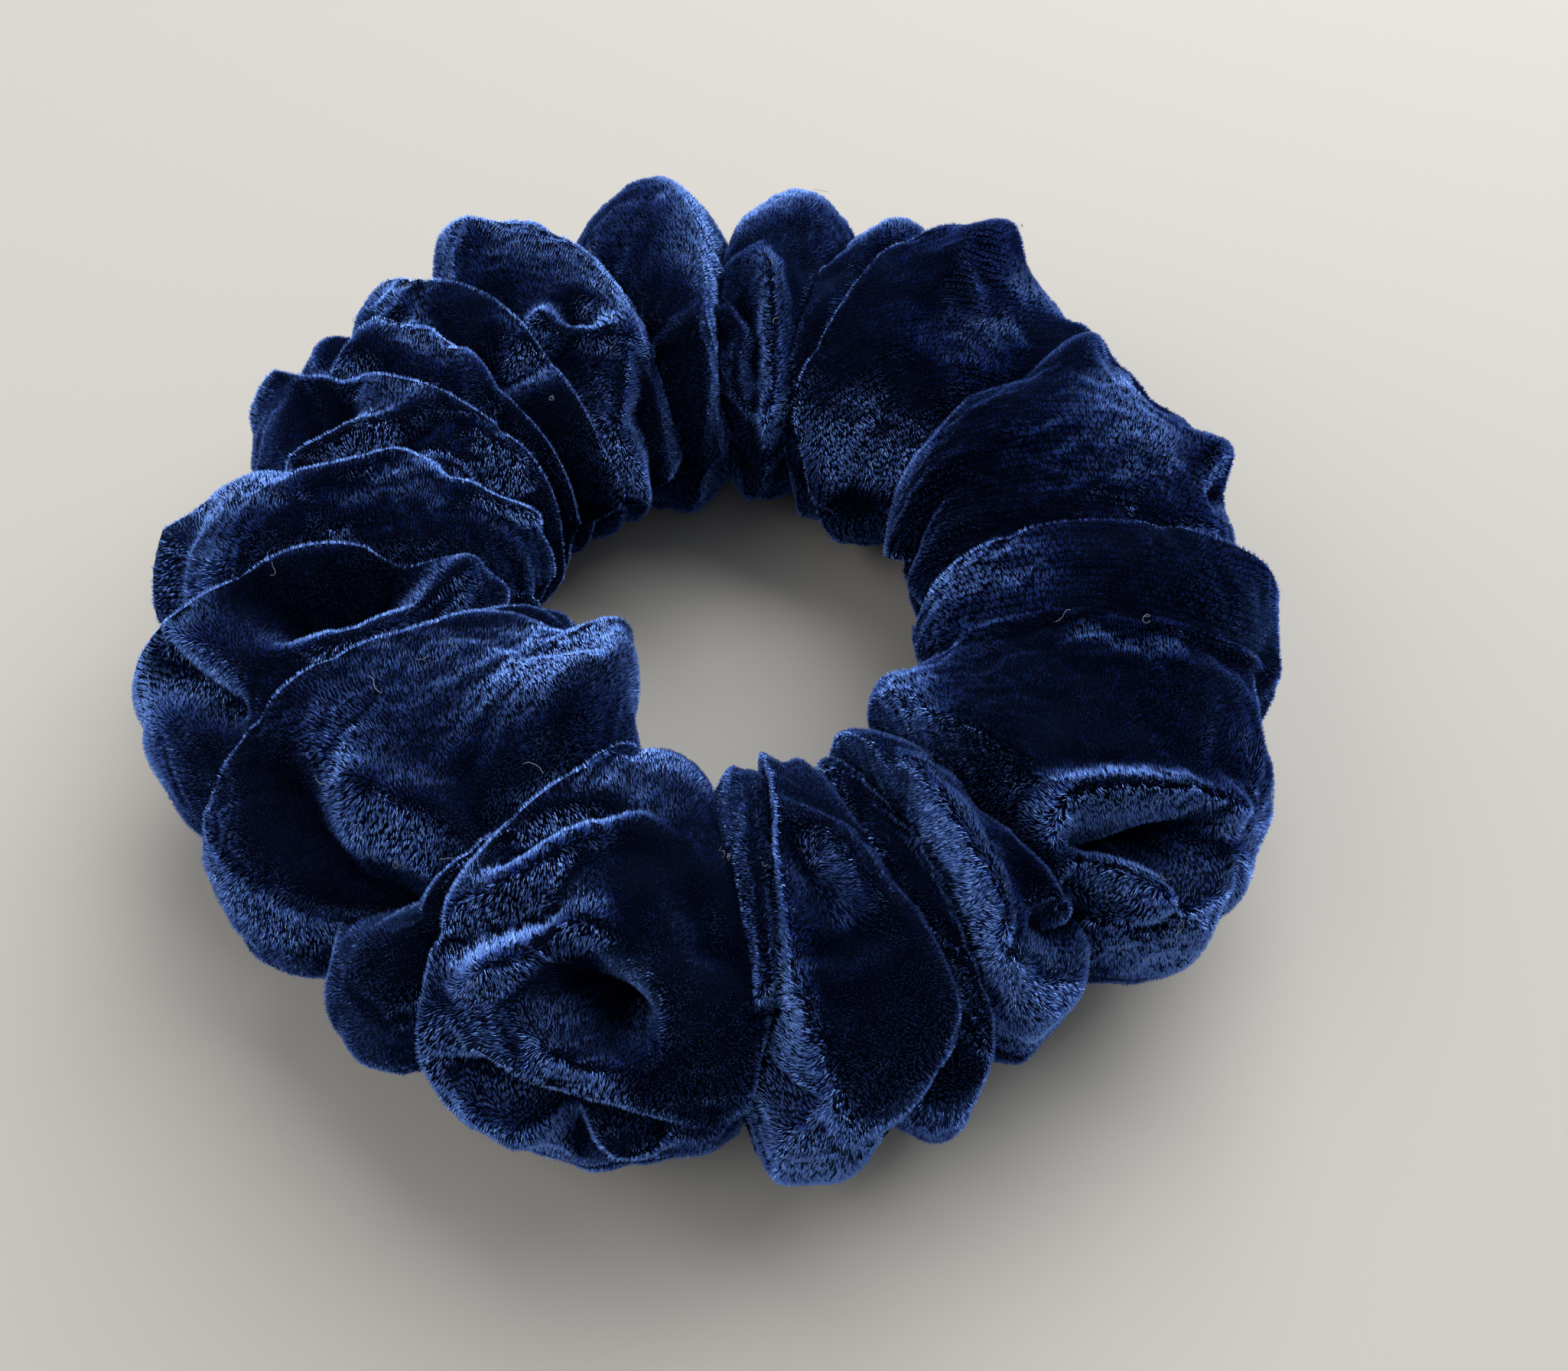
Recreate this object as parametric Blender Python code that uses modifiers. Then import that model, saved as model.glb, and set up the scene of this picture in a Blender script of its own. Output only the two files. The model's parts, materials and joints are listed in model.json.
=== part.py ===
"""A gathered velvet scrunchie: one strip of stretch velvet sewn into a tube round a ring of elastic.

Metres, +Z up. The ring lies flat on z = 0, centred on the origin. Azimuths are in degrees from +X,
anticlockwise from above. A section of the tube is measured by its own angle: 0 at the outer rim,
90 on top, 180 at the hole and 270 underneath.
"""

import math

import bpy
import numpy as np

MM = 0.001

# The tube of cloth
TUBE_RING_RADIUS = 38.2 * MM  # from the middle of the hole to the middle of the tube
TUBE_HALF_WIDTH = 17.6 * MM
TUBE_HALF_HEIGHT = 15.2 * MM
TUBE_CENTRE_HEIGHT = 14.2 * MM
SQUARENESS = 0.88  # power of the section's sine and cosine: 1 is an ellipse, less is boxier
CLOTH_THICKNESS = 1.0 * MM
CREASE_DEPTH = (3.2 * MM, 4.2 * MM, 5.2 * MM)  # at the hole, on top, at the rim
CREST_FULLNESS = 0.62  # below 1 a fold is puffed out, with narrow creases beside it
UNDERSIDE_DEPTH = 0.45  # share of the crease depth that is left under the ring

# The side seam, low on the outer rim, where both long edges turn into the tube
SEAM_ANGLE = -10.0
SEAM_HALF_GAP = 0.55 * MM
ALLOWANCE = 5.0 * MM
ALLOWANCE_ROWS = 2
SECTION_ROWS = 20
COLUMN_ANGLE = 3.7  # widest step between two columns of the cloth, in degrees

# The closing seam: one end of the tube is tucked into the other and slip-stitched
TUCK_COLUMNS = 3  # how many columns of the first fold the tucked end reaches under
STITCHED_COLUMN = 2  # the column of the first fold that the slip stitches follow
TUCK_STEP = 2.4 * MM  # how far the tucked end lies inside the outer one
TUCK_SEAM_HALF_GAP = 2.2 * MM
THREAD_RADIUS = 0.15 * MM
SIDE_STITCHES = 60
SIDE_STITCH_DEPTH = 2.8 * MM
SIDE_STITCH_SWING = 0.4 * MM
CLOSING_STITCH_SWING = 0.1 * MM

# The elastic: a flat braid with its ends lapped and whipped together, loose in the tube
ELASTIC_RADIUS = 28.0 * MM
ELASTIC_HEIGHT = 14.0 * MM
BRAID_WIDTH = 7.0 * MM
BRAID_THICKNESS = 1.8 * MM
BRAID_WALL = 0.35 * MM
CORE_GAP = 0.3 * MM
LAP_LENGTH = 12.0 * MM
LAP_GAP = 0.35 * MM
LAP_RAMP = 35.0  # degrees over which an end steps out of the middle line
ELASTIC_STEP = 6.0  # degrees
WHIP_TURNS = 5
WHIP_LENGTH = 8.0 * MM

# Each fold of the cloth, anticlockwise: the azimuth of the crease that starts it, and how far its
# crest stands out of the plain tube in millimetres, each at the hole, on top and at the rim.
FOLDS = (
    ((-19, -15, -11), (0.2, 0.2, 0.6)),
    ((-3, 1, -2), (0.4, 0.2, -1.6)),
    ((39, 38, 40), (0.6, 0.8, 0.2)),
    ((63, 68, 62), (0.0, -0.6, 1.0)),
    ((73, 76, 74), (0.0, 0.4, 1.2)),
    ((86, 92, 92), (0.2, 0.8, 1.8)),
    ((105, 108, 113), (0.8, 0.4, 0.6)),
    ((127, 129, 134), (0.2, -0.4, 0.2)),
    ((139, 139, 145), (0.0, 0.2, 0.6)),
    ((149, 151, 155), (0.2, 0.0, 1.0)),
    ((159, 162, 167), (0.4, 0.6, 1.2)),
    ((172, 184, 189), (0.8, 0.4, 1.2)),
    ((193, 206, 212), (3.6, 1.0, -0.8)),
    ((238, 239, 230), (1.0, -1.4, -0.6)),
    ((246, 243, 242), (1.0, 0.8, -0.4)),
    ((271, 278, 275), (0.2, 0.4, 1.4)),
    ((284, 295, 294), (0.2, -0.4, -1.6)),
    ((297, 306, 308), (0.4, 0.6, 0.2)),
)
LAP_FOLD = 0  # the fold whose starting crease is the closing seam
CLOSING_CREASE_SHARE = 0.35  # that crease is this shallow beside the others

COLLECTION = "scrunchie"


def clear_scene():
    for item in list(bpy.data.objects):
        bpy.data.objects.remove(item, do_unlink=True)


def along_section(values, section_angle):
    """A value given at the hole, on top and at the rim, eased between them and kept below."""
    hole, top, rim = values
    angle = (section_angle + 180.0) % 360.0 - 180.0
    if angle < 0.0:
        share = 0.5 - 0.5 * math.cos(math.radians(180.0 + angle))
        return hole + (rim - hole) * share
    if angle > 90.0:
        share = (angle - 90.0) / 90.0
        return top + (hole - top) * share
    share = angle / 90.0
    return rim + (top - rim) * share


def crest_puff(fold, across, section_angle):
    """Height of the cloth over the plain tube: crest in the middle of a fold, crease at both sides."""
    nearer = fold if across < 0.0 else (fold + 1) % len(FOLDS)
    share = CLOSING_CREASE_SHARE if nearer == LAP_FOLD else 1.0
    crest = along_section(FOLDS[fold][1], section_angle) * MM
    crease = -along_section(CREASE_DEPTH, section_angle) * share
    if math.sin(math.radians(section_angle)) < 0.0:
        crease *= UNDERSIDE_DEPTH + (1.0 - UNDERSIDE_DEPTH) * abs(math.cos(math.radians(section_angle)))
    roundness = max(0.0, 1.0 - across * across) ** CREST_FULLNESS
    return crease + (crest - crease) * roundness


def ring_point(azimuth, section_angle, puff, depth=0.0, inward=0.0):
    """A point of the tube: puffed out from the plain tube, at a depth under its outer face, and
    moved in from the side seam. The outer face never goes below the ground."""
    angle = math.radians(section_angle)
    out, up = math.cos(angle), math.sin(angle)
    width = TUBE_HALF_WIDTH * math.copysign(abs(out) ** SQUARENESS, out) + (puff - depth) * out
    height = TUBE_HALF_HEIGHT * math.copysign(abs(up) ** SQUARENESS, up) + (puff - depth) * up
    radius = TUBE_RING_RADIUS + width - inward * math.cos(math.radians(SEAM_ANGLE))
    z = max(depth, TUBE_CENTRE_HEIGHT + height) - inward * math.sin(math.radians(SEAM_ANGLE))
    turn = math.radians(azimuth)
    return (radius * math.cos(turn), radius * math.sin(turn), z)


def fold_edges(fold, section_angle):
    """The azimuths of the two creases beside a fold, at one angle of the section."""
    start = along_section(FOLDS[fold][0], section_angle)
    following = (fold + 1) % len(FOLDS)
    end = along_section(FOLDS[following][0], section_angle) + (360.0 if following == 0 else 0.0)
    return start, end


def places_across(fold):
    """Evenly spaced places across a fold, from -1 at its first crease to just short of its last."""
    start, end = fold_edges(fold, 90.0)
    steps = max(3, math.ceil((end - start) / COLUMN_ANGLE))
    return [-1.0 + 2.0 * step / steps for step in range(steps)]


def ring_columns():
    """(fold, place across it, share of the tuck) for each column of the cloth, once round the ring."""
    last = len(FOLDS) - 1
    columns = []
    for fold in range(len(FOLDS)):
        for across in places_across(fold):
            tuck = max(0.0, (across - 0.4) / 0.6) if fold == last else 0.0
            columns.append((fold, across, tuck))
    return columns


def tucked_columns():
    """The columns of the end that lies inside the first fold."""
    return [(LAP_FOLD, across, 1.0) for across in places_across(LAP_FOLD)[: TUCK_COLUMNS + 1]]


def column_points(fold, across, tuck):
    """One section of the cloth, from one turned-in long edge round the tube to the other."""
    half_gap = SEAM_HALF_GAP + (TUCK_SEAM_HALF_GAP - SEAM_HALF_GAP) * tuck
    gap_angle = math.degrees(half_gap / TUBE_HALF_WIDTH)
    first, last = SEAM_ANGLE - gap_angle, SEAM_ANGLE - 360.0 + gap_angle
    angles = [first + (last - first) * row / (SECTION_ROWS - 1) for row in range(SECTION_ROWS)]
    turned_in = [ALLOWANCE * row / ALLOWANCE_ROWS for row in range(ALLOWANCE_ROWS, 0, -1)]
    places = [(first, inward) for inward in turned_in]
    places += [(angle, 0.0) for angle in angles]
    places += [(last, inward) for inward in reversed(turned_in)]
    points = []
    for angle, inward in places:
        start, end = fold_edges(fold, angle)
        azimuth = start + (end - start) * (across + 1.0) / 2.0
        puff = crest_puff(fold, across, angle)
        points.append(ring_point(azimuth, angle, puff, TUCK_STEP * tuck, inward))
    return points


def lay_out(sections):
    """Vertices and quads of a sheet whose sections follow each other."""
    rows = len(sections[0])
    points = [point for section in sections for point in section]
    faces = []
    for column in range(len(sections) - 1):
        for row in range(rows - 1):
            corner = column * rows + row
            faces.append((corner, corner + 1, corner + rows + 1, corner + rows))
    return points, faces


def add_object(name, data, collection, material):
    item = bpy.data.objects.new(name, data)
    collection.objects.link(item)
    data.materials.append(material)
    return item


def cloth_material(name, colour, roughness, sheen=0.0):
    material = bpy.data.materials.new(name)
    material.use_nodes = True
    shader = material.node_tree.nodes["Principled BSDF"]
    shader.inputs["Base Color"].default_value = (*colour, 1.0)
    shader.inputs["Roughness"].default_value = roughness
    shader.inputs["Metallic"].default_value = 0.0
    shader.inputs["Sheen Weight"].default_value = sheen
    material.diffuse_color = (*colour, 1.0)
    return material


def velvet_cover(collection):
    """The whole cover: one strip of velvet, an open sheet given its thickness inwards."""
    sections = [column_points(*column) for column in ring_columns() + tucked_columns()]
    points, faces = lay_out(sections)
    mesh = bpy.data.meshes.new("velvet_cover")
    mesh.from_pydata(points, [], faces)
    mesh.shade_smooth()
    velvet = cloth_material("navy_velvet", (0.012, 0.024, 0.11), 0.75, sheen=0.8)
    cover = add_object("velvet_cover", mesh, collection, velvet)
    thickness = cover.modifiers.new("cloth_thickness", "SOLIDIFY")
    thickness.thickness = CLOTH_THICKNESS
    thickness.offset = -1.0
    return cover


def thread(name, points, cyclic, collection, material):
    """A round thread along a line of points, with filled ends where it isn't a ring."""
    curve = bpy.data.curves.new(name, "CURVE")
    curve.dimensions = "3D"
    curve.bevel_depth = THREAD_RADIUS
    curve.bevel_resolution = 2
    curve.use_fill_caps = not cyclic
    spline = curve.splines.new("POLY")
    spline.points.add(len(points) - 1)
    for slot, point in zip(spline.points, points):
        slot.co = (*point, 1.0)
    spline.use_cyclic_u = cyclic
    return add_object(name, curve, collection, material)


def side_seam_points():
    """The side seam's thread, swinging in and out between the two turned-in edges."""
    points = []
    for count, (fold, across, _) in enumerate(ring_columns()):
        start, end = fold_edges(fold, SEAM_ANGLE)
        azimuth = start + (end - start) * (across + 1.0) / 2.0
        swing = SIDE_STITCH_SWING if count % 2 else -SIDE_STITCH_SWING
        puff = crest_puff(fold, across, SEAM_ANGLE)
        points.append(ring_point(azimuth, SEAM_ANGLE, puff, inward=SIDE_STITCH_DEPTH + swing))
    return points


def closing_seam_points():
    """The slip stitches between the tucked end and the outer end, from seam edge to seam edge."""
    across = places_across(LAP_FOLD)[STITCHED_COLUMN]
    between = (CLOTH_THICKNESS + TUCK_STEP) / 2.0
    gap_angle = math.degrees(TUCK_SEAM_HALF_GAP / TUBE_HALF_WIDTH) + 4.0
    stitches = SECTION_ROWS * 2
    points = []
    for count in range(stitches):
        angle = SEAM_ANGLE - gap_angle - (360.0 - 2.0 * gap_angle) * count / (stitches - 1)
        swing = CLOSING_STITCH_SWING if count % 2 else -CLOSING_STITCH_SWING
        left, right = fold_edges(LAP_FOLD, angle)
        azimuth = left + (right - left) * (across + 1.0) / 2.0
        puff = crest_puff(LAP_FOLD, across, angle)
        points.append(ring_point(azimuth, angle, puff, between + swing))
    return points


def elastic_path():
    """Radius and azimuth down the middle of the elastic, whose ends lap inside and outside."""
    lap_angle = math.degrees(LAP_LENGTH / ELASTIC_RADIUS)
    offset = (BRAID_THICKNESS + LAP_GAP) / 2.0
    first, last = -lap_angle / 2.0, 360.0 + lap_angle / 2.0
    steps = math.ceil((last - first) / ELASTIC_STEP)
    path = []
    for step in range(steps + 1):
        azimuth = first + (last - first) * step / steps
        from_start = min(1.0, max(0.0, (azimuth - lap_angle / 2.0) / LAP_RAMP))
        from_end = min(1.0, max(0.0, (360.0 - lap_angle / 2.0 - azimuth) / LAP_RAMP))
        inner = 0.5 + 0.5 * math.cos(math.pi * from_start)
        outer = 0.5 + 0.5 * math.cos(math.pi * from_end)
        path.append((ELASTIC_RADIUS - offset * inner + offset * outer, azimuth))
    return path


def band_sections(width, thickness):
    """Closed stadium-shaped sections of a flat band along the elastic's path."""
    cap_steps = 3
    outline = []
    for side, start in ((1.0, 0.0), (-1.0, 180.0)):
        for step in range(cap_steps + 1):
            angle = math.radians(start + 180.0 * step / cap_steps)
            across = thickness / 2.0 * math.cos(angle)
            along = side * (width - thickness) / 2.0 + thickness / 2.0 * math.sin(angle)
            outline.append((across, along))
    sections = []
    for radius, azimuth in elastic_path():
        turn = math.radians(azimuth)
        sections.append([
            ((radius + across) * math.cos(turn), (radius + across) * math.sin(turn), ELASTIC_HEIGHT + along)
            for across, along in outline
        ])
    return sections


def tube_mesh(name, sections, capped):
    """A mesh round closed sections, with its two ends filled or left open."""
    around = len(sections[0])
    points = [point for section in sections for point in section]
    faces = []
    for step in range(len(sections) - 1):
        for side in range(around):
            here, there = step * around + side, step * around + (side + 1) % around
            faces.append((here, here + around, there + around, there))
    if capped:
        faces.append(tuple(range(around)))
        faces.append(tuple(reversed(range(len(points) - around, len(points)))))
    mesh = bpy.data.meshes.new(name)
    mesh.from_pydata(points, [], faces)
    mesh.shade_smooth()
    return mesh


def elastic_braid(collection):
    """The braided sheath of the elastic, a flat sleeve open at both lapped ends."""
    mesh = tube_mesh("elastic_braid", band_sections(BRAID_WIDTH, BRAID_THICKNESS), capped=False)
    cotton = cloth_material("white_braid", (0.72, 0.71, 0.68), 0.85)
    braid = add_object("elastic_braid", mesh, collection, cotton)
    wall = braid.modifiers.new("braid_wall", "SOLIDIFY")
    wall.thickness = BRAID_WALL
    wall.offset = -1.0
    return braid


def elastic_rubber_core(collection):
    """The flat ribbon of rubber inside the braid."""
    shrink = 2.0 * (BRAID_WALL + CORE_GAP)
    sections = band_sections(BRAID_WIDTH - shrink, BRAID_THICKNESS - shrink)
    mesh = tube_mesh("elastic_rubber_core", sections, capped=True)
    rubber = cloth_material("latex_rubber", (0.62, 0.54, 0.40), 0.55)
    return add_object("elastic_rubber_core", mesh, collection, rubber)


def whip_points():
    """The whip stitch that holds the lapped ends, wound round both layers without touching them."""
    half_thick = BRAID_THICKNESS + LAP_GAP / 2.0 + THREAD_RADIUS + 0.35 * MM
    half_wide = BRAID_WIDTH / 2.0 + THREAD_RADIUS + 0.35 * MM
    points_a_turn = 10
    count = WHIP_TURNS * points_a_turn
    points = []
    for step in range(count + 1):
        turn = 2.0 * math.pi * step / points_a_turn
        across, along = math.cos(turn), math.sin(turn)
        radius = ELASTIC_RADIUS + half_thick * math.copysign(abs(across) ** 0.5, across)
        height = ELASTIC_HEIGHT + half_wide * math.copysign(abs(along) ** 0.5, along)
        azimuth = (step / count - 0.5) * WHIP_LENGTH / ELASTIC_RADIUS
        points.append((radius * math.cos(azimuth), radius * math.sin(azimuth), height))
    return points


def centre_on_origin(cover, items):
    """Moves everything so that the middle of the cover's box is over the origin."""
    corners = np.array([vertex.co for vertex in cover.data.vertices])
    middle = (corners.min(axis=0) + corners.max(axis=0)) / 2.0
    for item in items:
        item.location.x -= middle[0]
        item.location.y -= middle[1]


def main():
    clear_scene()
    collection = bpy.data.collections.new(COLLECTION)
    bpy.context.scene.collection.children.link(collection)
    navy_thread = cloth_material("navy_thread", (0.02, 0.03, 0.10), 0.6)
    white_thread = cloth_material("white_thread", (0.80, 0.79, 0.76), 0.6)

    cover = velvet_cover(collection)
    fixed = [
        cover,
        thread("side_seam_thread", side_seam_points(), True, collection, navy_thread),
        thread("closing_seam_thread", closing_seam_points(), False, collection, navy_thread.copy()),
    ]
    turning = [
        elastic_braid(collection),
        elastic_rubber_core(collection),
        thread("elastic_join_thread", whip_points(), False, collection, white_thread),
    ]
    axis = bpy.data.objects.new("elastic_axis", None)
    collection.objects.link(axis)
    for item in turning:
        item.parent = axis
    centre_on_origin(cover, fixed + [axis])
    bpy.context.view_layer.update()


main()
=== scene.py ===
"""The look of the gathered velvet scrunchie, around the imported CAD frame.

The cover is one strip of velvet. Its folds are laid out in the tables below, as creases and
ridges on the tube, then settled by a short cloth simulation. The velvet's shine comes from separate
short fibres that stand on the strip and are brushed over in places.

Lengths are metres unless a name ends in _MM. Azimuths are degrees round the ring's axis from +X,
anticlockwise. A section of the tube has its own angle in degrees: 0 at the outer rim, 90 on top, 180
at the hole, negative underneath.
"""
import json
import math
from collections import namedtuple

import bpy
import numpy as np
from mathutils import Matrix, Vector


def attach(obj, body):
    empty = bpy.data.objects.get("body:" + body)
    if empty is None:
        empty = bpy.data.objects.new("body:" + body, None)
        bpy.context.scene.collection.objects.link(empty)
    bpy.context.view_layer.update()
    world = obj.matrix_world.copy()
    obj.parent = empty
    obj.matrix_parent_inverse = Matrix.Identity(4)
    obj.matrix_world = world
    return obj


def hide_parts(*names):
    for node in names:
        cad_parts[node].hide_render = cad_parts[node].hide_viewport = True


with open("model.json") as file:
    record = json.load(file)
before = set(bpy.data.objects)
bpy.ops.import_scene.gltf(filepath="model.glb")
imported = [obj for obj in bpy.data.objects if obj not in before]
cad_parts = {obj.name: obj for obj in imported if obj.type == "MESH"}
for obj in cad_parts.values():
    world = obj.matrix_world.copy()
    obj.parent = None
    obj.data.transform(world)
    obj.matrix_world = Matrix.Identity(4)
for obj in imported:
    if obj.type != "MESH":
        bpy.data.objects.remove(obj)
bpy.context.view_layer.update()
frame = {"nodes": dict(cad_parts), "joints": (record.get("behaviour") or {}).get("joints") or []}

MM = 0.001
AXIS_POINT = np.array(frame["joints"][0]["pos_m"]) * [1.0, 1.0, 0.0]

# The plain tube that the folds stand on
TUBE_RING_RADIUS_MM = 38.2
TUBE_HALF_WIDTH_MM = 17.6
TUBE_HALF_HEIGHT_MM = 15.2
TUBE_MEAN_RADIUS_MM = 16.5
TUBE_CENTRE_HEIGHT_MM = 14.2
SQUARENESS = 0.88  # 1 is a round section, and less is squarer
SEAM_ANGLE = -10.0
SEAM_HALF_GAP_DEG = 0.35
TURNED_IN_MM = (4.2, 3.0, 1.8, 0.9, 0.3)  # how far inside the tube the rows of each seam allowance lie
CREASE_DEPTH_MM = (2.6, 4.5, 5.5)  # at the hole, on top, at the rim
UNDERSIDE_SHARE = 0.45  # of that depth, in the middle of the underside
LEAN_FROM_SINE = -0.35  # the folds lean over above this height on the section, as the sine of its angle

# Mesh of the cover
COLUMNS_PER_DEGREE = 1.15
FEWEST_COLUMNS = 9
SECTION_ROWS = 104  # without the two seam allowances
WIDEST_FROM_ANGLE = 85.0  # a fold gets the columns that its widest part needs, on top or inside

# Each fold, anticlockwise. creases: azimuth of the crease that starts it at section angles 180, 150,
# 120, 90, 60, 30 and 0. depth: how deep that crease is, as a share. crest: where the fold's highest
# line is, from 0 at this crease to 1 at the next. rise_mm: its height over the plain tube at the hole,
# on top and at the rim. lean_mm: how far the crest hangs over its nearer crease. flat: how flat the far
# side is.
Fold = namedtuple("Fold", "creases depth crest rise_mm lean_mm flat")
STATION_STEP = 30.0
FOLDS = (
    Fold((-22, -21, -19, -15, -13.5, -11.5, -10), 0.35, 0.80, (0.5, 0.6, 0.8), 2.0, 3.0),
    Fold((-5, -3, 0.5, 1.5, 0.5, 0, 0), 1.0, 0.55, (0.5, 0.4, -1.2), 0.6, 2.6),
    Fold((39, 40, 40, 38, 38, 39, 40), 1.0, 0.82, (1.0, 1.6, 1.5), 2.5, 2.6),
    Fold((64, 70, 69, 67, 62, 60, 60), 1.1, 0.50, (-1, -1.0, 1.5), 0.0, 2.0),
    Fold((75, 76, 77, 76, 74, 74, 74), 0.8, 0.45, (0.0, 0.2, 3.0), 0.0, 2.4),
    Fold((91, 93, 93, 92.5, 92, 91, 91), 1.2, 0.45, (0.5, 0.8, 3.8), 1.2, 2.4),
    Fold((104, 106, 107, 109, 113, 114, 114), 1.0, 0.35, (0.8, 0.6, 2.4), 1.2, 3.0),
    Fold((129, 130, 129.5, 129.5, 134, 135, 136), 1.0, 0.25, (0.2, 0.2, 1.6), 1.0, 2.0),
    Fold((140, 141, 140, 139, 143, 145, 146), 0.8, 0.40, (0.0, 0.2, 1.6), 0.5, 2.0),
    Fold((150, 148.5, 149.5, 151, 154.5, 153, 154), 1.0, 0.25, (0.5, 0.8, 0.7), 1.2, 2.0),
    Fold((158, 159, 159, 165, 168, 168, 168), 0.9, 0.35, (0.5, 1.0, -0.5), 1.2, 3.0),
    Fold((180, 187, 187, 184.5, 189.5, 189, 189), 1.1, 0.17, (0.2, 1.2, 2.4), 1.8, 2.6),
    Fold((182, 196, 205, 206.5, 211, 214, 215), 1.1, 0.16, (5.0, 2.4, 0.2), 2.5, 3.6),
    Fold((252, 252, 247, 238.5, 234, 229, 229), 1.1, 0.50, (-1, -2.0, -0.5), 0.0, 2.0),
    Fold((257, 256, 250, 240.5, 241, 243, 244), 1.0, 0.16, (1.0, 1.2, 0.2), 2.0, 2.6),
    Fold((269.5, 270.5, 271.5, 274, 275.5, 274.5, 273), 0.6, 0.50, (1.6, -0.6, -4.5), 0.0, 2.0),
    Fold((281, 281.5, 280.5, 278.5, 277, 275, 274), 0.85, 0.24, (0.5, 1.0, 1.2), 1.0, 4.0),
    Fold((293, 293, 293, 293.5, 295.5, 294, 287), 0.75, 0.45, (-1.2, -1.8, 0.4), 0.0, 2.0),
    Fold((300, 300, 300, 300, 298.5, 298, 299), 1.1, 0.32, (1.2, 1.0, -2.5), 1.0, 2.5),
    Fold((316, 314, 311.5, 310, 310.5, 311.5, 312), 1.1, 0.28, (0.8, 1.2, 0.6), 1.5, 2.8),
)

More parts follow.
